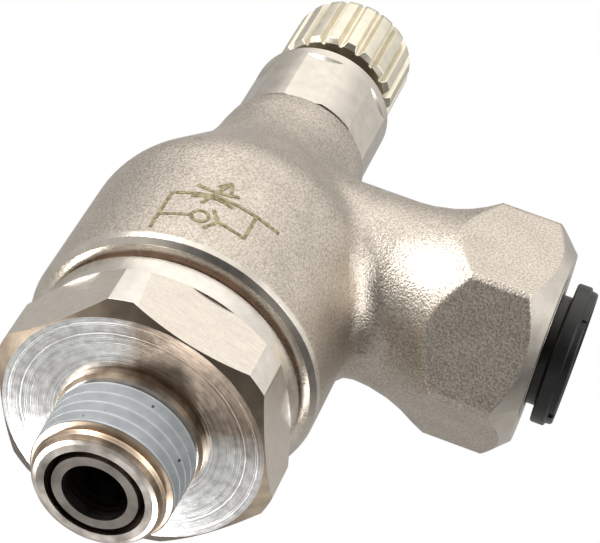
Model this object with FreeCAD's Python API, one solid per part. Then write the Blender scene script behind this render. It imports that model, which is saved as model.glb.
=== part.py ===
import FreeCAD, Part
import math
import os

# Push-in one-way flow control valve, in millimetres.
# Main axis is Z: male port down, adjusting knob up. Tube arm is along +X.
# Origin: centre of the hexagon's lower (seating) face.

# --- Standards the size rests on -------------------------------------------
TUBE_R = 6.35 / 2              # 1/4 inch tube
PITCH = 25.4 / 27              # 1/8 NPT: 27 threads per inch
TAPER = 1 / 32                 # 1:16 on the diameter
CREST_R = 4.98                 # thread crest radius at the spigot's end
THREAD_DEPTH = 0.72
RUN = 0.05                     # radial clearance of the parts that turn

# --- Male base --------------------------------------------------------------
SPIGOT_Z = -6.65
SPIGOT_END_R = 4.1
SPIGOT_BORE_R = 3.55
THREAD_TURNS = 5
THREAD_Z = -5.75               # bottom of the first ridge
BOSS_R = 5.35
BOSS_H = 0.9
HEX_FLAT = 9.5                 # half of 19 mm across flats
HEX_TURN = 16.0                # degrees, how the hexagon sits on its axis at rest
HEX_H = 4.0                    # where the hexagon's upper chamfer starts
HEX_R = 10.5                   # turned bar the hexagon is milled from
FACE_R = 9.4
COLLAR_Z = 4.85
COLLAR_R = 9.65
COLLAR_TOP_Z = 6.7
STEM_R = 7.0
STEM_TOP = 15.0

# --- Swivelling body --------------------------------------------------------
BODY_Z = 7.15
BODY_R = 10.75
RIM_R = 10.25
SHOULDER_Z = 18.3
SHOULDER_ARC = 6.0
DOME_SLOPE = math.radians(26.8)
DOME_END_Z = 25.5
NECK_R = 5.95
NECK_TOP_R = 5.8
NECK_TOP_Z = 33.85
NECK_BORE_R = 4.6
STEM_BORE_R = STEM_R + RUN
LIP_BORE_R = 6.2
LIP_BORE_Z = 15.4
CHAMBER_Z = 19.2
CHAMBER_R = 6.9

# --- Tube arm ---------------------------------------------------------------
ARM_Z = 22.6
ARM_FLAT = 7.9                 # half of 15.8 mm across flats
ARM_CORNER_R = 8.98
WAIST_X = 11.4
WAIST_R = 6.95
PRISM_X = 17.2
ROOT_FILLET = 2.2
CORNER_END_X = 21.7
ARM_END_X = 23.5
ARM_END_R = 7.2
PASSAGE_R = 2.6
STOP_X = 9.5                   # shoulder the tube's end rests on
TUBE_BORE_R = 3.25
SEAL_X = 13.0
SEAL_R = 4.9
MOUTH_X = 19.0
MOUTH_R = 5.5

# --- Push-in parts ----------------------------------------------------------
BUTTON_TRAVEL = 0.7
BUTTON_FACE_X = 24.3           # back of the button's flange at rest
BUTTON_FLANGE_R = 5.32
BUTTON_HUB_R = 4.15
SLEEVE_BORE_R = 4.3
BUTTON_BORE_R = 3.35

# --- Screw, bush and knob ---------------------------------------------------
SCREW_DOWN = 1.5               # travel from rest to shut
SCREW_UP = 3.5                 # travel from rest to fully open
SPINDLE_R = 2.5                # M5 x 0.5 fine thread
SPINDLE_BORE_R = SPINDLE_R + RUN
SEAT_Z = 19.0
SEAT_R = 1.95
NEEDLE_R = 2.3
NEEDLE_SLOPE = 0.3235
BUSH_R = 5.55
BUSH_FLAT = 5.34
BUSH_TURN = 57.0
BUSH_FOOT_Z = 29.7
BUSH_HEAD_Z = 34.07
BUSH_TOP_Z = 41.4
KNOB_Z = 43.4
KNOB_TOP_Z = 49.95
KNOB_R = 4.95
KNOB_BORE_R = 2.2
KNOB_TEETH = 20
KNOB_GROOVE = 0.5

Z_AXIS = FreeCAD.Vector(0, 0, 1)
X_AXIS = FreeCAD.Vector(1, 0, 0)
ORIGIN = FreeCAD.Vector(0, 0, 0)


# --- Small helpers ----------------------------------------------------------
def point(r, z):
    return FreeCAD.Vector(r, 0, z)


def lines(points):
    """Edges that join (r, z) points in order."""
    spots = [point(r, z) for r, z in points]
    return [Part.makeLine(a, b) for a, b in zip(spots, spots[1:])]


def arc(start, middle, end):
    return Part.Arc(point(*start), point(*middle), point(*end)).toShape()


def smooth(points):
    """One smooth curve through (r, z) points."""
    curve = Part.BSplineCurve()
    curve.interpolate([point(r, z) for r, z in points])
    return curve.toShape()


def spin(edges):
    """Solid turned about Z from a closed run of edges in the XZ plane."""
    face = Part.Face(Part.Wire(edges))
    return face.revolve(ORIGIN, Z_AXIS, 360)


def turned(points):
    """Solid turned about Z from a closed list of (r, z) corners."""
    return spin(lines(points + points[:1]))


def along_arm(solid):
    """Moves a solid turned about Z onto the arm, so its height becomes x."""
    moved = solid.copy()
    moved.rotate(ORIGIN, FreeCAD.Vector(0, 1, 0), 90)
    moved.translate(FreeCAD.Vector(0, 0, ARM_Z))
    return moved


def cylinder(radius, low, high):
    return Part.makeCylinder(radius, high - low, point(0, low))


def tube(inner, outer, low, high):
    return cylinder(outer, low, high).cut(cylinder(inner, low - 1, high + 1))


def hexagon(flat, low, high, turn):
    """Hexagonal prism about Z. At turn 0 one corner points along +X."""
    reach = flat / math.cos(math.pi / 6)
    corners = []
    for k in range(7):
        angle = math.radians(60 * k + turn)
        corners.append(FreeCAD.Vector(reach * math.cos(angle), reach * math.sin(angle), low))
    face = Part.Face(Part.makePolygon(corners))
    return face.extrude(FreeCAD.Vector(0, 0, high - low))


def o_ring(centre_r, section_r, z):
    return Part.makeTorus(centre_r, section_r, point(0, z))


def around(solid, count, first=0.0):
    """Copies of a solid spaced evenly about Z."""
    copies = []
    for k in range(count):
        copy = solid.copy()
        copy.rotate(ORIGIN, Z_AXIS, first + 360 * k / count)
        copies.append(copy)
    return copies


# --- Male base --------------------------------------------------------------
def crest(z):
    return CREST_R + TAPER * (z - SPIGOT_Z)


def thread_ridges(crest_extra, root_extra):
    """(r, z) corners of the thread's outline, from its lower end to its upper end."""
    corners = []
    for k in range(THREAD_TURNS):
        z = THREAD_Z + k * PITCH
        root = crest(z) - THREAD_DEPTH + root_extra
        top = crest(z) + crest_extra
        corners.append((root, z))
        corners.append((top, z + 0.42 * PITCH))
        corners.append((top, z + 0.58 * PITCH))
    z = THREAD_Z + THREAD_TURNS * PITCH
    corners.append((crest(z) - THREAD_DEPTH + root_extra, z))
    return corners


def threaded_base():
    ridges = thread_ridges(0, 0)
    outline = [
        (SPIGOT_BORE_R, SPIGOT_Z),
        (SPIGOT_END_R, SPIGOT_Z),
        (SPIGOT_END_R + 0.3, SPIGOT_Z + 0.12),
        (4.65, SPIGOT_Z + 0.45),
        (4.75, THREAD_Z - 0.1),
    ]
    outline += ridges
    outline += [
        (BOSS_R - 0.25, -BOSS_H),
        (BOSS_R, -BOSS_H + 0.25),
        (BOSS_R, 0),
        (FACE_R, 0),
        (HEX_R, (HEX_R - FACE_R) * math.tan(math.radians(30))),
        (HEX_R, HEX_H),
        (COLLAR_R, COLLAR_Z),
        (COLLAR_R, COLLAR_TOP_Z - 0.15),
        (COLLAR_R - 0.15, COLLAR_TOP_Z),
        (STEM_R, COLLAR_TOP_Z),
        (STEM_R, 8.6),
        (5.72, 8.6),
        (5.72, 10.3),
        (STEM_R, 10.3),
        (STEM_R, 12.05),
        (6.2, 12.05),
        (6.2, 12.95),
        (STEM_R, 12.95),
        (STEM_R, STEM_TOP - 0.4),
        (STEM_R - 0.4, STEM_TOP),
        (5.2, STEM_TOP),
        (5.2, 14.0),
        (4.9, 14.0),
        (SPIGOT_BORE_R, 12.4),
    ]
    round_bar = turned(outline)
    waste = cylinder(HEX_R + 1, -0.01, COLLAR_Z)
    keep = hexagon(HEX_FLAT, -1, COLLAR_Z + 1, HEX_TURN)
    return round_bar.cut(waste.cut(keep))


def thread_sealant():
    """Dried coat over the middle of the thread, thick in the roots and thin on the crests."""
    under = thread_ridges(0, 0)
    over = thread_ridges(0.07, 0.34)
    return turned(under[1:] + over[:0:-1])


def seat_tube():
    """Inner tube with the metering seat at its top and a slotted flange for the return flow."""
    flange_low = 14.02
    outline = [
        (2.33, SPIGOT_Z + 0.05),
        (3.05, SPIGOT_Z + 0.05),
        (3.05, 13.0),
        (3.5, flange_low),
        (5.18, flange_low),
        (5.18, STEM_TOP),
        (3.6, STEM_TOP),
        (3.6, 15.6),
        (3.2, 15.6),
        (3.2, 18.2),
        (3.6, 18.2),
        (3.6, 20.0),
        (2.6, 20.0),
        (SEAT_R, SEAT_Z),
        (SEAT_R, 17.4),
        (2.33, 16.6),
    ]
    body = turned(outline)
    slot = Part.makeCylinder(0.5, 3, FreeCAD.Vector(4.3, 0, 13))
    for hole in around(slot, 6):
        body = body.cut(hole)
    return body


def thrust_washer():
    return tube(STEM_R + 0.02, 9.2, COLLAR_TOP_Z, BODY_Z - 0.04)


def base_o_ring():
    return o_ring(6.385, 0.64, 9.45)


def retaining_ring():
    """Split spring ring shared by a groove in the stem and a groove in the body's bore."""
    ring = tube(6.25, 7.45, 12.1, 12.9)
    gap = Part.makeBox(3, 2.4, 2, FreeCAD.Vector(5.5, -1.2, 11.5))
    return ring.cut(gap)


def lip_seal():
    """Cup-shaped check seal: its outer lip opens upward against the body's bore."""
    return turned([
        (3.22, 15.65),
        (4.9, 15.65),
        (5.35, 16.0),
        (LIP_BORE_R - 0.03, 17.75),
        (LIP_BORE_R - 0.03, 18.1),
        (LIP_BORE_R - 0.35, 18.1),
        (4.75, 16.75),
        (4.3, 16.75),
        (4.1, 18.0),
        (3.22, 18.0),
    ])


def seal_washer():
    return tube(3.61, 5.0, 18.25, 18.75)


# --- Swivelling body --------------------------------------------------------
def body_outline():
    """Outside of the body: barrel, shouldered dome and the neck that flares from it."""
    a = DOME_SLOPE
    bend = SHOULDER_ARC
    hub_r = BODY_R - bend
    half = (hub_r + bend * math.cos(a / 2), SHOULDER_Z + bend * math.sin(a / 2))
    end = (hub_r + bend * math.cos(a), SHOULDER_Z + bend * math.sin(a))
    cone_r = end[0] - (DOME_END_Z - end[1]) * math.tan(a)
    flare = (cone_r - NECK_R) / (1 - math.cos(a))
    flare_z = DOME_END_Z + flare * math.sin(a)
    centre_r = NECK_R + flare
    flare_points = []
    for k in range(9):
        turn = a * (1 - k / 9)
        spot = (centre_r - flare * math.cos(turn), flare_z - flare * math.sin(turn))
        flare_points.append(spot)
    flare_end = flare_points[-1]
    edges = lines([
        (0, BODY_Z),
        (RIM_R, BODY_Z),
        (BODY_R - 0.1, BODY_Z + 0.35),
        (BODY_R, BODY_Z + 0.75),
        (BODY_R, SHOULDER_Z),
    ])
    edges.append(arc((BODY_R, SHOULDER_Z), half, end))
    edges += lines([end, (cone_r, DOME_END_Z)])
    edges.append(smooth(flare_points))
    edges += lines([
        flare_end,
        (NECK_TOP_R, NECK_TOP_Z - 0.2),
        (NECK_TOP_R - 0.2, NECK_TOP_Z),
        (0, NECK_TOP_Z),
        (0, BODY_Z),
    ])
    return edges


def arm_outside():
    """Waisted arm that grows into a hexagon with a turned, chamfered end."""
    root_x = 0
    waist = (WAIST_R, WAIST_X)
    edges = lines([(0, root_x), (WAIST_R, root_x), waist])
    edges.append(arc(waist, (7.45, 14.3), (ARM_CORNER_R, PRISM_X)))
    edges += lines([
        (ARM_CORNER_R, PRISM_X),
        (ARM_CORNER_R, CORNER_END_X),
        (ARM_END_R, ARM_END_X),
        (0, ARM_END_X),
        (0, root_x),
    ])
    bar = spin(edges)
    root = cylinder(12, 0, WAIST_X)
    prism = hexagon(ARM_FLAT, WAIST_X - 1, ARM_END_X + 1, 0)
    return along_arm(bar.common(root.fuse(prism)))


def body_cavity():
    """Everything bored out of the body from below, from above and from the arm."""
    main = turned([
        (0, BODY_Z - 1),
        (STEM_BORE_R + 0.3, BODY_Z - 1),
        (STEM_BORE_R + 0.3, BODY_Z + 0.2),
        (STEM_BORE_R, BODY_Z + 0.5),
        (STEM_BORE_R, 12.0),
        (7.6, 12.0),
        (7.6, 13.0),
        (STEM_BORE_R, 13.0),
        (STEM_BORE_R, LIP_BORE_Z),
        (LIP_BORE_R, LIP_BORE_Z),
        (LIP_BORE_R, CHAMBER_Z),
        (CHAMBER_R, CHAMBER_Z + 0.6),
        (CHAMBER_R, 22.2),
        (NECK_BORE_R, 26.8),
        (NECK_BORE_R, NECK_TOP_Z - 0.3),
        (NECK_BORE_R + 0.4, NECK_TOP_Z + 0.1),
        (0, NECK_TOP_Z + 0.1),
    ])
    arm = along_arm(turned([
        (0, 3),
        (PASSAGE_R, 3),
        (PASSAGE_R, STOP_X),
        (TUBE_BORE_R, STOP_X),
        (TUBE_BORE_R, SEAL_X),
        (SEAL_R, SEAL_X),
        (SEAL_R, MOUTH_X),
        (MOUTH_R, MOUTH_X),
        (MOUTH_R, ARM_END_X - 0.25),
        (MOUTH_R + 0.25, ARM_END_X + 0.1),
        (0, ARM_END_X + 0.1),
    ]))
    return main.fuse(arm)


def valve_body():
    """Body with a fillet where the arm grows out of the barrel and dome."""
    barrel = spin(body_outline())
    arm = arm_outside()
    outside = barrel.fuse(arm)
    seam = []
    for edge in outside.Edges:
        spot = Part.Vertex(edge.valueAt((edge.FirstParameter + edge.LastParameter) / 2))
        on_both = max(spot.distToShape(shell)[0] for shell in (barrel.Shells[0], arm.Shells[0]))
        if on_both < 1e-4:
            seam.append(edge)
    outside = outside.makeFillet(ROOT_FILLET, seam)
    return outside.cut(body_cavity())


def gland_bush():
    """Bush screwed into the neck: it carries the needle's thread and has spanner flats."""
    body = turned([
        (SPINDLE_BORE_R, BUSH_FOOT_Z),
        (4.2, BUSH_FOOT_Z),
        (4.58, BUSH_FOOT_Z + 0.4),
        (4.58, NECK_TOP_Z - 1.2),
        (3.95, NECK_TOP_Z - 1.2),
        (3.95, BUSH_HEAD_Z),
        (BUSH_R - 0.15, BUSH_HEAD_Z),
        (BUSH_R, BUSH_HEAD_Z + 0.15),
        (BUSH_R, BUSH_TOP_Z - 0.45),
        (BUSH_R - 0.45, BUSH_TOP_Z),
        (SPINDLE_BORE_R + 0.3, BUSH_TOP_Z),
        (SPINDLE_BORE_R, BUSH_TOP_Z - 0.3),
    ])
    low = NECK_TOP_Z
    high = BUSH_TOP_Z - 2.3
    waste = turned([(4.9, low), (BUSH_R + 1, low), (BUSH_R + 1, high + 2.5), (4.9, high)])
    keep = hexagon(BUSH_FLAT, low - 1, high + 4, BUSH_TURN)
    return body.cut(waste.cut(keep))


def bush_gasket():
    """O-ring under the bush's head, in the chamfer of the neck's bore."""
    return o_ring(4.27, 0.3, NECK_TOP_Z - 0.55)


# --- Push-in socket ---------------------------------------------------------
def tube_seal():
    return along_arm(o_ring(4.06, 0.82, 13.9))


def seal_spacer():
    return along_arm(tube(TUBE_R + 0.1, SEAL_R - 0.02, 14.85, 15.65))


def gripping_ring():
    """Thin sprung ring with slots that leave claws leaning in toward the tube."""
    ring = turned([
        (SEAL_R - 0.02, 16.75),
        (SEAL_R - 0.02, 17.05),
        (4.3, 17.05),
        (TUBE_R + 0.04, 16.25),
        (TUBE_R + 0.09, 15.98),
        (4.38, 16.75),
    ])
    slot = Part.makeBox(1.4, 0.35, 3, FreeCAD.Vector(2.9, -0.175, 15))
    for cut in around(slot, 10):
        ring = ring.cut(cut)
    return along_arm(ring)


def grip_support():
    """Ring that holds the gripping ring's rim and guides the button's nose."""
    return along_arm(turned([
        (4.7, 17.1),
        (SEAL_R - 0.02, 17.1),
        (SEAL_R - 0.02, MOUTH_X),
        (5.3, MOUTH_X + 0.02),
        (5.3, MOUTH_X + 0.42),
        (4.7, MOUTH_X + 0.42),
    ]))


def socket_sleeve():
    """Bright ring pressed into the arm's mouth: it keeps the button in."""
    low = MOUTH_X + 0.45
    return along_arm(turned([
        (SLEEVE_BORE_R, low),
        (MOUTH_R - 0.01, low),
        (MOUTH_R - 0.01, ARM_END_X - 0.5),
        (MOUTH_R - 0.16, ARM_END_X - 0.3),
        (MOUTH_R - 0.16, ARM_END_X + 0.05),
        (SLEEVE_BORE_R + 0.25, ARM_END_X + 0.05),
        (SLEEVE_BORE_R, ARM_END_X - 0.2),
    ]))


def release_button():
    """Collar pressed toward the arm to free the tube. A bead on its hub stops it pulling out."""
    face = BUTTON_FACE_X
    body = turned([
        (BUTTON_BORE_R, 17.85),
        (3.75, 17.85),
        (4.1, 18.3),
        (4.1, 18.75),
        (4.5, 18.95),
        (4.5, 19.35),
        (BUTTON_HUB_R, 19.4),
        (BUTTON_HUB_R, face - 0.1),
        (BUTTON_HUB_R + 0.1, face),
        (BUTTON_FLANGE_R - 0.1, face),
        (BUTTON_FLANGE_R, face + 0.12),
        (BUTTON_FLANGE_R, face + 1.0),
        (BUTTON_FLANGE_R - 0.12, face + 1.1),
        (BUTTON_FLANGE_R - 0.22, face + 1.1),
        (BUTTON_FLANGE_R - 0.28, face + 1.5),
        (BUTTON_FLANGE_R - 0.4, face + 1.6),
        (4.65, face + 1.6),
        (4.5, face + 1.45),
        (4.35, face + 0.9),
        (BUTTON_BORE_R + 0.35, face + 0.6),
        (BUTTON_BORE_R, face + 0.2),
    ])
    notch = Part.makeBox(1.2, 0.7, 2, FreeCAD.Vector(4.9, -0.35, face + 1.2))
    for cut in around(notch, 4, 20):
        body = body.cut(cut)
    return along_arm(body)


# --- Screw and knob ---------------------------------------------------------
def needle_spindle():
    """Metering needle, sealed shank and fine screw in one piece, with a driver slot on top."""
    shut_z = SEAT_Z + SCREW_DOWN
    tip_r = 1.0
    low = shut_z - (SEAT_R - 0.03 - tip_r) / NEEDLE_SLOPE
    high = shut_z + (NEEDLE_R - SEAT_R + 0.03) / NEEDLE_SLOPE
    body = turned([
        (0, low - 0.5),
        (tip_r - 0.4, low - 0.5),
        (tip_r, low),
        (NEEDLE_R, high),
        (NEEDLE_R, 25.3),
        (SPINDLE_R, 25.5),
        (SPINDLE_R, 31.4),
        (1.75, 31.4),
        (1.75, 33.0),
        (SPINDLE_R, 33.0),
        (SPINDLE_R, KNOB_Z),
        (KNOB_BORE_R - 0.01, KNOB_Z),
        (KNOB_BORE_R - 0.01, KNOB_TOP_Z - 0.45),
        (KNOB_BORE_R - 0.2, KNOB_TOP_Z - 0.25),
        (0, KNOB_TOP_Z - 0.25),
    ])
    slot = Part.makeBox(6, 0.8, 2, FreeCAD.Vector(-3, -0.4, KNOB_TOP_Z - 1.05))
    pin = Part.makeCylinder(0.5, 8.5, FreeCAD.Vector(-4.25, 0, 45.9), X_AXIS)
    return body.cut(slot).cut(pin)


def stop_collar():
    """Ring pressed on the spindle: it meets the bush's foot when the valve is fully open."""
    high = BUSH_FOOT_Z - SCREW_UP - 0.05
    return tube(SPINDLE_R + 0.01, 3.4, high - 0.6, high)


def needle_o_ring():
    return o_ring(2.16, 0.375, 32.45)


def needle_backup_ring():
    return tube(1.78, SPINDLE_R + 0.02, 31.43, 32.05)


def adjusting_knob():
    """Knob with coarse straight flutes, a round-edged top and a shallow dish."""
    edges = lines([
        (KNOB_BORE_R, KNOB_Z),
        (KNOB_R - 0.35, KNOB_Z),
        (KNOB_R, KNOB_Z + 0.35),
        (KNOB_R, KNOB_TOP_Z - 0.9),
    ])
    bend = 0.9 * math.sqrt(0.5)
    edge_mid = (KNOB_R - 0.9 + bend, KNOB_TOP_Z - 0.9 + bend)
    edges.append(arc((KNOB_R, KNOB_TOP_Z - 0.9), edge_mid, (KNOB_R - 0.9, KNOB_TOP_Z)))
    edges += lines([
        (KNOB_R - 0.9, KNOB_TOP_Z),
        (3.1, KNOB_TOP_Z),
        (2.9, KNOB_TOP_Z - 0.8),
        (KNOB_BORE_R, KNOB_TOP_Z - 0.8),
        (KNOB_BORE_R, KNOB_Z),
    ])
    body = spin(edges)
    half = 0.42
    low = KNOB_Z - 1
    deep = KNOB_R - KNOB_GROOVE
    far = KNOB_R + 0.3
    corners = [(deep, -0.1), (deep, 0.1), (far, half + 0.12), (far, -half - 0.12), (deep, -0.1)]
    wire = Part.makePolygon([FreeCAD.Vector(x, y, low) for x, y in corners])
    flute = Part.Face(wire).extrude(FreeCAD.Vector(0, 0, 8))
    body = body.cut(Part.makeCompound(around(flute, KNOB_TEETH)))
    pin = Part.makeCylinder(0.5, 8.5, FreeCAD.Vector(-4.25, 0, 45.9), X_AXIS)
    return body.cut(pin)


def knob_pin():
    return Part.makeCylinder(0.49, 8.4, FreeCAD.Vector(-4.2, 0, 45.9), X_AXIS)


PARTS = {
    "threaded_base": threaded_base,
    "thread_sealant": thread_sealant,
    "seat_tube": seat_tube,
    "thrust_washer": thrust_washer,
    "base_o_ring": base_o_ring,
    "retaining_ring": retaining_ring,
    "lip_seal": lip_seal,
    "seal_washer": seal_washer,
    "valve_body": valve_body,
    "gland_bush": gland_bush,
    "bush_gasket": bush_gasket,
    "tube_seal": tube_seal,
    "seal_spacer": seal_spacer,
    "gripping_ring": gripping_ring,
    "grip_support": grip_support,
    "socket_sleeve": socket_sleeve,
    "release_button": release_button,
    "needle_o_ring": needle_o_ring,
    "needle_backup_ring": needle_backup_ring,
    "needle_spindle": needle_spindle,
    "stop_collar": stop_collar,
    "adjusting_knob": adjusting_knob,
    "knob_pin": knob_pin,
}


def main():
    os.makedirs("parts", exist_ok=True)
    for name, make in PARTS.items():
        shape = make()
        solids = shape.Solids
        size = shape.BoundBox
        print(f"{name:20s} solids {len(solids)} valid {shape.isValid()} volume {shape.Volume:9.2f}"
              f"  z {size.ZMin:.2f} to {size.ZMax:.2f}  x {size.XMin:.2f} to {size.XMax:.2f}")
        shape.exportStep(f"parts/{name}.step")


main()
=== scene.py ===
import bpy
import math
from mathutils import Matrix, Vector
from mathutils.bvhtree import BVHTree


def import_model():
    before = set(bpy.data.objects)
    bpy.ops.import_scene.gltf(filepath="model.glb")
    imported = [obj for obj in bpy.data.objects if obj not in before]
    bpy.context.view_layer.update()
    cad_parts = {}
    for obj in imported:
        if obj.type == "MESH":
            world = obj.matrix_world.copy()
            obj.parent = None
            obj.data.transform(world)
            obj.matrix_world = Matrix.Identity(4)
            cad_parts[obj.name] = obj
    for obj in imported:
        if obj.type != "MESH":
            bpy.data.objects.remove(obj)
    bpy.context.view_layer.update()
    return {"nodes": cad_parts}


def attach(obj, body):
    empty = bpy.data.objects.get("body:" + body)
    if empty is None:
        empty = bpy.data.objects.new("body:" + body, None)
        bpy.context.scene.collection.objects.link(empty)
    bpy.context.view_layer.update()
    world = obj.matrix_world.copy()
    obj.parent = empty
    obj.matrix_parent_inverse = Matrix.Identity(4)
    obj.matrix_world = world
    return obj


# Looks for the flow control valve. Lengths in metres unless a name says mm.
MM = 0.001
ARM_Z = 22.6 * MM
ARM_HEX_X = 9.0 * MM               # the arm's faces start here
ARM_CHAMFER_X = 20.5 * MM
ARM_MOUTH_R = 5.9 * MM
NECK_BORE_R = 4.8 * MM
NECK_TOP_Z = 33.8 * MM
BUSH_HEAD_Z = 34.4 * MM
RIM_TOP_Z = 7.92 * MM
SPIGOT_Z = -6.65 * MM
SPIGOT_RING_R = 3.4 * MM
BOSS_R = 5.0 * MM
HEX_CHAMFER_Z = 0.66 * MM
HEX_TOP_Z = 4.9 * MM
HEX_LAND_R = 10.44 * MM

# Check ball of the etched symbol: turn round the body in degrees, and height in mm.
SYMBOL_TURN = -94.3
SYMBOL_Z = 10.66
BARREL_R = 10.75                   # mm
LINE_WIDTH = 0.27                  # mm
LINE_PROUD = 0.03                  # mm above the skin, and as much below it

# Camera: turn round the valve, height, roll and lens, measured with the hexagon's face.
CAM_AZ = 11.495
CAM_EL = -48.882
CAM_ROLL = 28.696
CAM_LENS_PX = 2500.0
CAM_SHIFT_MM = (-11.305, 10.64, 167.7)
PICTURE_W = 600.0
SENSOR_MM = 36.0

NICKEL = (0.67, 0.605, 0.53)
TURNED = (0.76, 0.715, 0.65)
BRASS = (0.30, 0.225, 0.16)
SPIGOT_REFLECTION_SIDE = (0.5, -0.87, 0.0)     # side of the hexagon's face with the painted reflection of the brown spigot
RINGS_BRIGHT_SIDE = (0.93, 0.37, 0.0)


# --- Node helpers -----------------------------------------------------------
def material(name):
    m = bpy.data.materials.new(name)
    m.use_nodes = True
    tree = m.node_tree
    tree.nodes.clear()
    out = tree.nodes.new("ShaderNodeOutputMaterial")
    bsdf = tree.nodes.new("ShaderNodeBsdfPrincipled")
    tree.links.new(bsdf.outputs["BSDF"], out.inputs["Surface"])
    return m, tree, bsdf


def node(tree, kind, **values):
    n = tree.nodes.new(kind)
    for key, value in values.items():
        if key in n.inputs:
            n.inputs[key].default_value = value
        else:
            setattr(n, key, value)
    return n


def coords(tree):
    return tree.nodes.new("ShaderNodeTexCoord").outputs["Object"]


def noise(tree, scale, detail=3.0, vector=None):
    n = node(tree, "ShaderNodeTexNoise", Scale=scale, Detail=detail)
    tree.links.new(vector or coords(tree), n.inputs["Vector"])
    return n.outputs["Fac"]


def ramp(tree, fac, stops):
    """Colours by value: stops is a list of (position, colour)."""
    n = tree.nodes.new("ShaderNodeValToRGB")
    elements = n.color_ramp.elements
    while len(elements) < len(stops):
        elements.new(0.5)
    for element, (position, colour) in zip(elements, stops):
        element.position = position
        element.color = (*colour, 1.0)
    tree.links.new(fac, n.inputs["Fac"])
    return n.outputs["Color"]


def remap(tree, fac, low, high):
    n = node(tree, "ShaderNodeMapRange")
    n.inputs["To Min"].default_value = low
    n.inputs["To Max"].default_value = high
    tree.links.new(fac, n.inputs["Value"])
    return n.outputs["Result"]


def math_node(tree, operation, a, b=None):
    n = tree.nodes.new("ShaderNodeMath")
    n.operation = operation
    for socket, value in zip(n.inputs, (a, b)):
        if value is None:
            continue
        if isinstance(value, (int, float)):
            socket.default_value = value
        else:
            tree.links.new(value, socket)
    return n.outputs[0]


def bump(tree, relief, distance, strength=1.0, edge=0.0):
    n = node(tree, "ShaderNodeBump", Strength=strength, Distance=distance)
    tree.links.new(relief, n.inputs["Height"])
    if edge:
        soft = node(tree, "ShaderNodeBevel", samples=6, Radius=edge)
        tree.links.new(soft.outputs["Normal"], n.inputs["Normal"])
    return n.outputs["Normal"]


def split(tree):
    parts = tree.nodes.new("ShaderNodeSeparateXYZ")
    tree.links.new(coords(tree), parts.inputs[0])
    return parts.outputs


def radius_about_z(tree):
    """Distance from the main axis, in millimetres."""
    parts = split(tree)
    xx = math_node(tree, "MULTIPLY", parts[0], parts[0])
    yy = math_node(tree, "MULTIPLY", parts[1], parts[1])
    radius = math_node(tree, "SQRT", math_node(tree, "ADD", xx, yy))
    return math_node(tree, "MULTIPLY", radius, 1 / MM)


def height(tree):
    """Height up the main axis, in metres."""
    return split(tree)[2]


def shades(colour, spread):
    dark = tuple(c * (1 - spread) for c in colour)
    light = tuple(min(1.0, c * (1 + spread)) for c in colour)
    return [(0.3, dark), (0.7, light)]


# --- Materials --------------------------------------------------------------
def blasted(name, colour, edge):
    """Sandblasted plating: fine pits, soft edges, a pearl sheen with faint clouds."""
    m, tree, bsdf = material(name)
    grain = noise(tree, 6200.0, 3.0)
    clouds = noise(tree, 420.0, 4.0)
    tint = ramp(tree, clouds, shades(colour, 0.07))
    speck = ramp(tree, grain, [(0.36, (0.66, 0.64, 0.615)), (0.60, (1.0, 1.0, 1.0))])
    mix = node(tree, "ShaderNodeMix", data_type="RGBA", blend_type="MULTIPLY")
    mix.inputs["Factor"].default_value = 1.0
    tree.links.new(tint, mix.inputs[6])
    tree.links.new(speck, mix.inputs[7])
    tree.links.new(mix.outputs[2], bsdf.inputs["Base Color"])
    bsdf.inputs["Metallic"].default_value = 1.0
    tree.links.new(remap(tree, grain, 0.30, 0.46), bsdf.inputs["Roughness"])
    tree.links.new(bump(tree, grain, 0.00006, 0.8, edge), bsdf.inputs["Normal"])
    return m


def satin(name, colour, rough, edge=0.0, scale=900.0):
    """Machined plating with light wear and faint tool marks round the axis."""
    m, tree, bsdf = material(name)
    marks = node(tree, "ShaderNodeTexNoise", noise_dimensions="1D", Scale=9000.0, Detail=2.0)
    tree.links.new(height(tree), marks.inputs["W"])
    wear = noise(tree, scale, 5.0)
    tree.links.new(ramp(tree, wear, shades(colour, 0.08)), bsdf.inputs["Base Color"])
    bsdf.inputs["Metallic"].default_value = 1.0
    tree.links.new(remap(tree, wear, rough * 0.8, rough * 1.25), bsdf.inputs["Roughness"])
    normal = bump(tree, marks.outputs["Fac"], 0.000006, 0.15, edge)
    tree.links.new(normal, bsdf.inputs["Normal"])
    return m


def milled(name, colour):
    """Milled spanner flats: satin, with fine cutter lines that run round the hexagon."""
    m, tree, bsdf = material(name)
    stretch = node(tree, "ShaderNodeMapping")
    stretch.inputs["Scale"].default_value = (1.0, 1.0, 7.0)
    tree.links.new(coords(tree), stretch.inputs["Vector"])
    lines = noise(tree, 900.0, 5.0, stretch.outputs["Vector"])
    grain = noise(tree, 5000.0, 2.0)
    both = math_node(tree, "ADD", math_node(tree, "MULTIPLY", lines, 0.6),
                     math_node(tree, "MULTIPLY", grain, 0.4))
    tree.links.new(ramp(tree, both, shades(colour, 0.13)), bsdf.inputs["Base Color"])
    bsdf.inputs["Metallic"].default_value = 1.0
    tree.links.new(remap(tree, both, 0.28, 0.42), bsdf.inputs["Roughness"])
    tree.links.new(bump(tree, both, 0.00002, 0.4), bsdf.inputs["Normal"])
    return m


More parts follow.
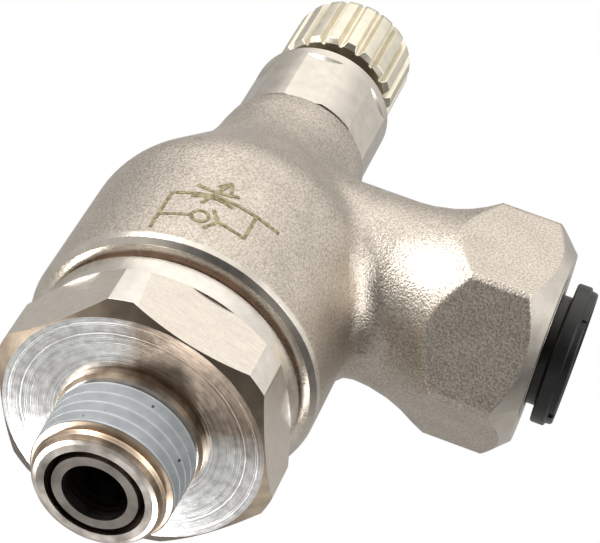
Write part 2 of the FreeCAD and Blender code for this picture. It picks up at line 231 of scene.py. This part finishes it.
def faced(name):
    """Turned face: faint rings and scuffs, with a painted reflection of the brown spigot as a brown
    wedge on one side of the thread.
    """
    m, tree, bsdf = material(name)
    radius = radius_about_z(tree)
    rings = node(tree, "ShaderNodeTexNoise", noise_dimensions="1D", Scale=9.0, Detail=5.0)
    tree.links.new(radius, rings.inputs["W"])
    scuffs = noise(tree, 1500.0, 8.0)
    patches = noise(tree, 330.0, 6.0)
    # Painted reflection of the brown spigot: the face is coloured brown on one side of the thread.
    side = tree.nodes.new("ShaderNodeVectorMath")
    side.operation = "DOT_PRODUCT"
    tree.links.new(coords(tree), side.inputs[0])
    side.inputs[1].default_value = SPIGOT_REFLECTION_SIDE
    along = math_node(tree, "MULTIPLY", side.outputs["Value"], 1 / MM)
    share = math_node(tree, "DIVIDE", along, radius)
    share = math_node(tree, "ADD", share, math_node(tree, "MULTIPLY", patches, 0.30))
    painted_spigot_reflection = ramp(tree, share, [(0.72, (0.90, 0.90, 0.895)), (0.98, (0.30, 0.24, 0.19))])
    worn = math_node(tree, "ADD", math_node(tree, "MULTIPLY", rings.outputs["Fac"], 0.55),
                     math_node(tree, "MULTIPLY", scuffs, 0.45))
    shade = ramp(tree, worn, [(0.38, (0.55, 0.54, 0.53)), (0.58, (1.0, 1.0, 1.0))])
    mix = node(tree, "ShaderNodeMix", data_type="RGBA", blend_type="MULTIPLY")
    mix.inputs["Factor"].default_value = 0.85
    tree.links.new(painted_spigot_reflection, mix.inputs[6])
    tree.links.new(shade, mix.inputs[7])
    tree.links.new(mix.outputs[2], bsdf.inputs["Base Color"])
    bsdf.inputs["Metallic"].default_value = 1.0
    bsdf.inputs["Anisotropic"].default_value = 0.8
    tangent = node(tree, "ShaderNodeTangent", direction_type="RADIAL", axis="Z")
    tree.links.new(tangent.outputs[0], bsdf.inputs["Tangent"])
    tree.links.new(remap(tree, scuffs, 0.28, 0.48), bsdf.inputs["Roughness"])
    tree.links.new(bump(tree, worn, 0.00006, 0.45), bsdf.inputs["Normal"])
    return m


def bare_brass(name, colour):
    """Bare turned brass, tarnished brown, with bright scratches."""
    m, tree, bsdf = material(name)
    turned = node(tree, "ShaderNodeTexNoise", noise_dimensions="1D", Scale=4000.0, Detail=4.0)
    tree.links.new(height(tree), turned.inputs["W"])
    stain = noise(tree, 700.0, 5.0)
    both = math_node(tree, "MULTIPLY", math_node(tree, "ADD", turned.outputs["Fac"], stain), 0.5)
    light = tuple(min(1.0, c * 1.75 + 0.08) for c in colour)
    tree.links.new(ramp(tree, both, [(0.40, colour), (0.60, light)]), bsdf.inputs["Base Color"])
    bsdf.inputs["Metallic"].default_value = 1.0
    tree.links.new(remap(tree, stain, 0.22, 0.42), bsdf.inputs["Roughness"])
    tree.links.new(bump(tree, turned.outputs["Fac"], 0.00002, 0.5), bsdf.inputs["Normal"])
    return m


def sealant(name):
    """Dried grey-blue thread coat with a few pinholes."""
    m, tree, bsdf = material(name)
    lumps = noise(tree, 800.0, 4.0)
    holes = node(tree, "ShaderNodeTexVoronoi", Scale=750.0)
    tree.links.new(coords(tree), holes.inputs["Vector"])
    pits = ramp(tree, holes.outputs["Distance"], [(0.07, (0.10, 0.10, 0.10)), (0.11, (1, 1, 1))])
    tint = ramp(tree, lumps, [(0.3, (0.37, 0.39, 0.405)), (0.7, (0.47, 0.49, 0.50))])
    mix = node(tree, "ShaderNodeMix", data_type="RGBA", blend_type="MULTIPLY")
    mix.inputs["Factor"].default_value = 1.0
    tree.links.new(tint, mix.inputs[6])
    tree.links.new(pits, mix.inputs[7])
    tree.links.new(mix.outputs[2], bsdf.inputs["Base Color"])
    tree.links.new(remap(tree, lumps, 0.42, 0.62), bsdf.inputs["Roughness"])
    tree.links.new(bump(tree, lumps, 0.0001, 0.5, 0.0001), bsdf.inputs["Normal"])
    return m


def plastic(name, colour, rough, scale):
    """Moulded plastic or rubber with a faint mould texture."""
    m, tree, bsdf = material(name)
    grain = noise(tree, scale, 3.0)
    tree.links.new(ramp(tree, grain, shades(colour, 0.15)), bsdf.inputs["Base Color"])
    tree.links.new(remap(tree, grain, rough * 0.85, rough * 1.15), bsdf.inputs["Roughness"])
    tree.links.new(bump(tree, grain, 0.00002, 0.3, 0.00006), bsdf.inputs["Normal"])
    return m


def etched(name):
    """Laser-etched line: matt olive gold, broken by the blasted grain."""
    m, tree, bsdf = material(name)
    grain = noise(tree, 3600.0, 3.0)
    tint = ramp(tree, grain, [(0.35, (0.13, 0.11, 0.055)), (0.65, (0.36, 0.315, 0.18))])
    tree.links.new(tint, bsdf.inputs["Base Color"])
    bsdf.inputs["Metallic"].default_value = 0.3
    tree.links.new(remap(tree, grain, 0.45, 0.7), bsdf.inputs["Roughness"])
    tree.links.new(bump(tree, grain, 0.00004, 0.6), bsdf.inputs["Normal"])
    return m


# --- Dressing the CAD nodes -------------------------------------------------
def dress(obj, m):
    obj.data.materials.clear()
    obj.data.materials.append(m)


def dress_faces(obj, choices, pick):
    """Gives each face the material whose number pick returns."""
    obj.data.materials.clear()
    for m in choices:
        obj.data.materials.append(m)
    for face in obj.data.polygons:
        face.material_index = pick(face.center, face.normal)


def base_zone(centre, normal):
    """0 turned ring, 1 seating face, 2 spanner flat, 3 chamfer, 4 bare brass, 5 spigot end."""
    radius = math.hypot(centre.x, centre.y)
    if centre.z < -0.02 * MM:
        return 5 if normal.z < -0.9 and radius > SPIGOT_RING_R else 4
    if radius < BOSS_R:
        return 4
    if normal.z < -0.99:
        return 1
    if centre.z < HEX_CHAMFER_Z and normal.z < -0.5:
        return 3
    if centre.z < HEX_TOP_Z and abs(normal.z) < 0.1 and radius < HEX_LAND_R:
        return 2
    return 0


def bush_zone(centre, normal):
    """0 plated, 1 underside of the head, painted dark as the shade in the gap above the neck."""
    return 1 if normal.z < -0.4 and centre.z < BUSH_HEAD_Z else 0


def body_zone(centre, normal):
    """0 blasted skin, 1 machined band, mouth and bores, 2 end of the neck, painted dark as the shade
    in the gap under the bush.
    """
    if centre.z > NECK_TOP_Z:
        return 2
    if centre.z < RIM_TOP_Z:
        return 1
    from_arm = math.hypot(centre.y, centre.z - ARM_Z)
    in_arm = centre.x > ARM_HEX_X
    if in_arm and normal.x > 0.5 and centre.x > ARM_CHAMFER_X:
        return 1
    if in_arm and from_arm < ARM_MOUTH_R:
        return 1
    if not in_arm and math.hypot(centre.x, centre.y) < NECK_BORE_R:
        return 1
    return 0


def dress_all(nodes):
    skin = blasted("blasted nickel", NICKEL, 0.0004)
    ring = satin("turned nickel", TURNED, 0.24, 0.00006)
    smooth = satin("satin nickel", (0.68, 0.63, 0.56), 0.27, 0.00005)
    brass = bare_brass("bare brass", BRASS)
    # Dark brass for the needle spindle; the same dark colour is painted shade on the neck end and
    # the bush underside, in the gap between them.
    dark_brass_and_gap_shade = bare_brass("dark brass and painted gap shade", (0.085, 0.055, 0.035))
    steel = satin("stainless", (0.60, 0.60, 0.61), 0.25)
    knob = satin("knob nickel", (0.80, 0.745, 0.62), 0.30, 0.00008)
    rubber = plastic("nitrile", (0.018, 0.018, 0.018), 0.55, 1500.0)
    brown_ptfe = plastic("filled ptfe", (0.20, 0.12, 0.085), 0.5, 1200.0)
    ptfe = plastic("white ptfe", (0.66, 0.65, 0.61), 0.5, 1200.0)
    black = plastic("black acetal", (0.008, 0.008, 0.008), 0.33, 1400.0)
    end = bare_brass("spigot end", (0.25, 0.225, 0.20))
    by_material = {
        sealant("thread coat"): ["thread_sealant"],
        smooth: ["grip_support", "socket_sleeve"],
        dark_brass_and_gap_shade: ["needle_spindle"],
        end: ["seat_tube"],
        steel: ["retaining_ring", "seal_washer", "gripping_ring", "stop_collar", "knob_pin"],
        knob: ["adjusting_knob"],
        rubber: ["base_o_ring", "lip_seal", "bush_gasket", "tube_seal", "needle_o_ring"],
        brown_ptfe: ["thrust_washer"],
        ptfe: ["seal_spacer", "needle_backup_ring"],
        black: ["release_button"],
    }
    for m, names in by_material.items():
        for name in names:
            dress(nodes[name], m)
    zones = [ring, faced("turned face"), milled("milled flat", (0.70, 0.635, 0.56)),
             satin("chamfer", (0.15, 0.12, 0.09), 0.34), brass, end]
    dress_faces(nodes["threaded_base"], zones, base_zone)
    dress_faces(nodes["valve_body"], [skin, smooth, dark_brass_and_gap_shade], body_zone)
    dress_faces(nodes["gland_bush"], [smooth, dark_brass_and_gap_shade], bush_zone)


# --- Etched circuit symbol --------------------------------------------------
def ribbon(points, width):
    """Left and right edge points of a flat line of even width."""
    sides = []
    for i, (u, v) in enumerate(points):
        before = points[max(i - 1, 0)]
        after = points[min(i + 1, len(points) - 1)]
        du, dv = after[0] - before[0], after[1] - before[1]
        size = math.hypot(du, dv)
        nu, nv = -dv / size * width / 2, du / size * width / 2
        sides.append(((u + nu, v + nv), (u - nu, v - nv)))
    return sides


def divide(start, end, step=0.25):
    count = max(2, math.ceil(math.dist(start, end) / step))
    ts = [i / count for i in range(count + 1)]
    return [(start[0] + (end[0] - start[0]) * t, start[1] + (end[1] - start[1]) * t) for t in ts]


def circle(centre, radius, start, stop, count):
    points = []
    for i in range(count + 1):
        a = math.radians(start + (stop - start) * i / count)
        points.append((centre[0] + radius * math.cos(a), centre[1] + radius * math.sin(a)))
    return points


def symbol_lines():
    """Throttle and check-valve symbol, in mm from the check ball: u runs round the body, v up it."""
    left, right = -2.8, 3.4
    arrow = (0.8, 4.4)
    return [
        divide((left, 2.0), (0.2, 2.55)) + divide((0.2, 2.55), (5.3, 2.1))[1:],
        divide((left, 2.0), (left, -2.2)),
        divide((right, 2.3), (right, -0.3)),
        divide((left, -0.6), (-0.65, -0.1)),
        divide((1.3, 0.0), (right, -0.3)),
        circle((0.0, 0.0), 0.6, 0, 360, 20),
        divide((0.6, 1.1), (1.3, 0.0)) + divide((1.3, 0.0), (0.6, -1.1))[1:],
        circle((0.2, 6.6), 3.65, 245, 295, 10),
        circle((0.2, -1.4), 3.65, 65, 115, 10),
        divide((-0.4, 1.4), arrow),
        divide((0.1, 3.6), arrow) + divide(arrow, (1.1, 3.3))[1:],
    ]


def etch_symbol(body, m):
    """Thin closed ribbons laid on the body's skin."""
    tree = BVHTree.FromObject(body, bpy.context.evaluated_depsgraph_get())
    verts = []
    faces = []

    def on_skin(u, v, lift):
        angle = math.radians(SYMBOL_TURN) + u / BARREL_R
        outward = Vector((math.cos(angle), math.sin(angle), 0.0))
        start = Vector((0, 0, (SYMBOL_Z + v) * MM)) + outward * 0.03
        hit = tree.ray_cast(start, -outward)
        return hit[0] + hit[1] * lift * MM

    for stroke in symbol_lines():
        first = len(verts)
        sides = ribbon(stroke, LINE_WIDTH)
        for left, right in sides:
            for u, v in (left, right):
                verts.append(on_skin(u, v, LINE_PROUD))
            for u, v in (right, left):
                verts.append(on_skin(u, v, -LINE_PROUD))
        for i in range(len(sides) - 1):
            a = first + 4 * i
            b = a + 4
            for k in range(4):
                nxt = (k + 1) % 4
                faces.append((a + k, a + nxt, b + nxt, b + k))
        last = first + 4 * (len(sides) - 1)
        faces.append((first + 3, first + 2, first + 1, first))
        faces.append((last, last + 1, last + 2, last + 3))
    mesh = bpy.data.meshes.new("etched_symbol")
    mesh.from_pydata([tuple(p) for p in verts], [], faces)
    mesh.validate()
    obj = bpy.data.objects.new("etched_symbol", mesh)
    bpy.context.scene.collection.objects.link(obj)
    dress(obj, m)
    return obj


# --- Stage ------------------------------------------------------------------
def floor():
    """Pale floor seen only from above, so the valve's underside stays in view from below."""
    half = 0.6
    z = SPIGOT_Z - 0.00005
    mesh = bpy.data.meshes.new("floor")
    corners = [(-half, -half, z), (half, -half, z), (half, half, z), (-half, half, z)]
    mesh.from_pydata(corners, [], [(0, 1, 2, 3)])
    obj = bpy.data.objects.new("floor", mesh)
    bpy.context.scene.collection.objects.link(obj)
    m, tree, bsdf = material("pale floor")
    bsdf.inputs["Base Color"].default_value = (0.86, 0.86, 0.86, 1)
    bsdf.inputs["Roughness"].default_value = 0.8
    path = tree.nodes.new("ShaderNodeLightPath").outputs["Is Camera Ray"]
    back = tree.nodes.new("ShaderNodeNewGeometry").outputs["Backfacing"]
    seen = math_node(tree, "MULTIPLY", path, math_node(tree, "SUBTRACT", 1.0, back))
    clear = tree.nodes.new("ShaderNodeBsdfTransparent")
    mix = tree.nodes.new("ShaderNodeMixShader")
    tree.links.new(seen, mix.inputs["Fac"])
    tree.links.new(clear.outputs[0], mix.inputs[1])
    tree.links.new(bsdf.outputs["BSDF"], mix.inputs[2])
    out = next(n for n in tree.nodes if n.type == "OUTPUT_MATERIAL")
    tree.links.new(mix.outputs[0], out.inputs["Surface"])
    mesh.materials.append(m)


def cone_light(tree, direction, towards, inner, outer, level):
    """Brightness that fades from level at the middle of a patch of sky to 0 at its rim."""
    dot = tree.nodes.new("ShaderNodeVectorMath")
    dot.operation = "DOT_PRODUCT"
    tree.links.new(direction, dot.inputs[0])
    dot.inputs[1].default_value = Vector(towards).normalized()
    n = node(tree, "ShaderNodeMapRange", interpolation_type="SMOOTHSTEP")
    n.inputs["From Min"].default_value = math.cos(math.radians(outer))
    n.inputs["From Max"].default_value = math.cos(math.radians(inner))
    n.inputs["To Min"].default_value = 0.0
    n.inputs["To Max"].default_value = level
    tree.links.new(dot.outputs["Value"], n.inputs["Value"])
    return n.outputs["Result"]


def studio(axes):
    """White backdrop for the camera; a soft studio with dark cards for reflections."""
    world = bpy.data.worlds.new("studio")
    bpy.context.scene.world = world
    world.use_nodes = True
    tree = world.node_tree
    tree.nodes.clear()
    direction = tree.nodes.new("ShaderNodeTexCoord").outputs["Generated"]
    right, down, forward = axes
    level = 0.50
    patches = [
        (Vector((-0.14, -0.74, 0.60)), 8, 48, 0.95),
        (-right - 0.2 * down - 0.4 * forward, 5, 45, 0.10),
        (right - 0.2 * down + 0.1 * forward, 5, 50, 0.42),
        (-forward, 8, 40, -0.44),
        (0.9 * right + 0.8 * down - 0.5 * forward, 5, 45, -0.38),
    ]
    total = None
    for towards, inner, outer, strength in patches:
        patch = cone_light(tree, direction, towards, inner, outer, strength)
        total = math_node(tree, "ADD", total if total is not None else level, patch)
    total = math_node(tree, "MAXIMUM", total, 0.02)
    around = tree.nodes.new("ShaderNodeBackground")
    around.inputs["Color"].default_value = (1.0, 0.985, 0.96, 1)
    tree.links.new(total, around.inputs["Strength"])
    backdrop = tree.nodes.new("ShaderNodeBackground")
    backdrop.inputs["Color"].default_value = (1, 1, 1, 1)
    path = tree.nodes.new("ShaderNodeLightPath").outputs["Is Camera Ray"]
    mix = tree.nodes.new("ShaderNodeMixShader")
    tree.links.new(path, mix.inputs["Fac"])
    tree.links.new(around.outputs[0], mix.inputs[1])
    tree.links.new(backdrop.outputs[0], mix.inputs[2])
    out = tree.nodes.new("ShaderNodeOutputWorld")
    tree.links.new(mix.outputs[0], out.inputs["Surface"])


def softbox(name, position, target, size, power, only=None):
    """Area light; with only, it lights that object and nothing else."""
    light = bpy.data.lights.new(name, "AREA")
    light.size = size
    light.energy = power
    obj = bpy.data.objects.new(name, light)
    obj.location = position
    obj.rotation_euler = (target - position).to_track_quat("-Z", "Y").to_euler()
    bpy.context.scene.collection.objects.link(obj)
    if only:
        lit = bpy.data.collections.new(name)
        lit.objects.link(only)
        obj.light_linking.receiver_collection = lit


def camera_axes():
    """Right, down and forward directions of the camera."""
    az, el, roll = (math.radians(a) for a in (CAM_AZ, CAM_EL, CAM_ROLL))
    back = Vector((math.sin(az) * math.cos(el), -math.cos(az) * math.cos(el), math.sin(el)))
    forward = -back
    right = forward.cross(Vector((0, 0, 1))).normalized()
    up = right.cross(forward)
    right_rolled = math.cos(roll) * right + math.sin(roll) * up
    up_rolled = -math.sin(roll) * right + math.cos(roll) * up
    return right_rolled, -up_rolled, forward


def camera(axes):
    right, down, forward = axes
    tx, ty, tz = (s * MM for s in CAM_SHIFT_MM)
    place = -(tx * right + ty * down + tz * forward)
    data = bpy.data.cameras.new("camera")
    data.sensor_width = SENSOR_MM
    data.lens = CAM_LENS_PX * SENSOR_MM / PICTURE_W
    data.clip_start = 0.005
    obj = bpy.data.objects.new("camera", data)
    turn = Matrix((right, -down, -forward)).transposed().to_4x4()
    obj.matrix_world = Matrix.Translation(place) @ turn
    bpy.context.scene.collection.objects.link(obj)
    bpy.context.scene.camera = obj


def lights(axes, base):
    right, down, forward = axes
    middle = Vector((0.004, 0, 0.018))
    key = middle + 0.36 * Vector((-0.62, -0.78, -0.02))
    softbox("key", key, middle, 0.18, 1.1)
    fill = middle + 0.30 * right - 0.05 * down - 0.20 * forward
    softbox("fill", fill, middle, 0.20, 0.5)
    mirror = Vector((forward.x, forward.y, -abs(forward.z)))
    for side, power in ((0.50, 1.3), (-0.60, 1.7)):
        face_card = middle + 0.30 * (mirror + side * Vector(RINGS_BRIGHT_SIDE))
        softbox("face card", face_card, middle, 0.07, power, base)


def main():
    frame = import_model()
    nodes = frame["nodes"]
    for obj in nodes.values():
        obj.data.shade_smooth()
    dress_all(nodes)
    symbol = etch_symbol(nodes["valve_body"], etched("etched line"))
    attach(symbol, "banjo_body")
    axes = camera_axes()
    floor()
    studio(axes)
    lights(axes, nodes["threaded_base"])
    camera(axes)
    bpy.context.scene.view_settings.view_transform = "Standard"


main()
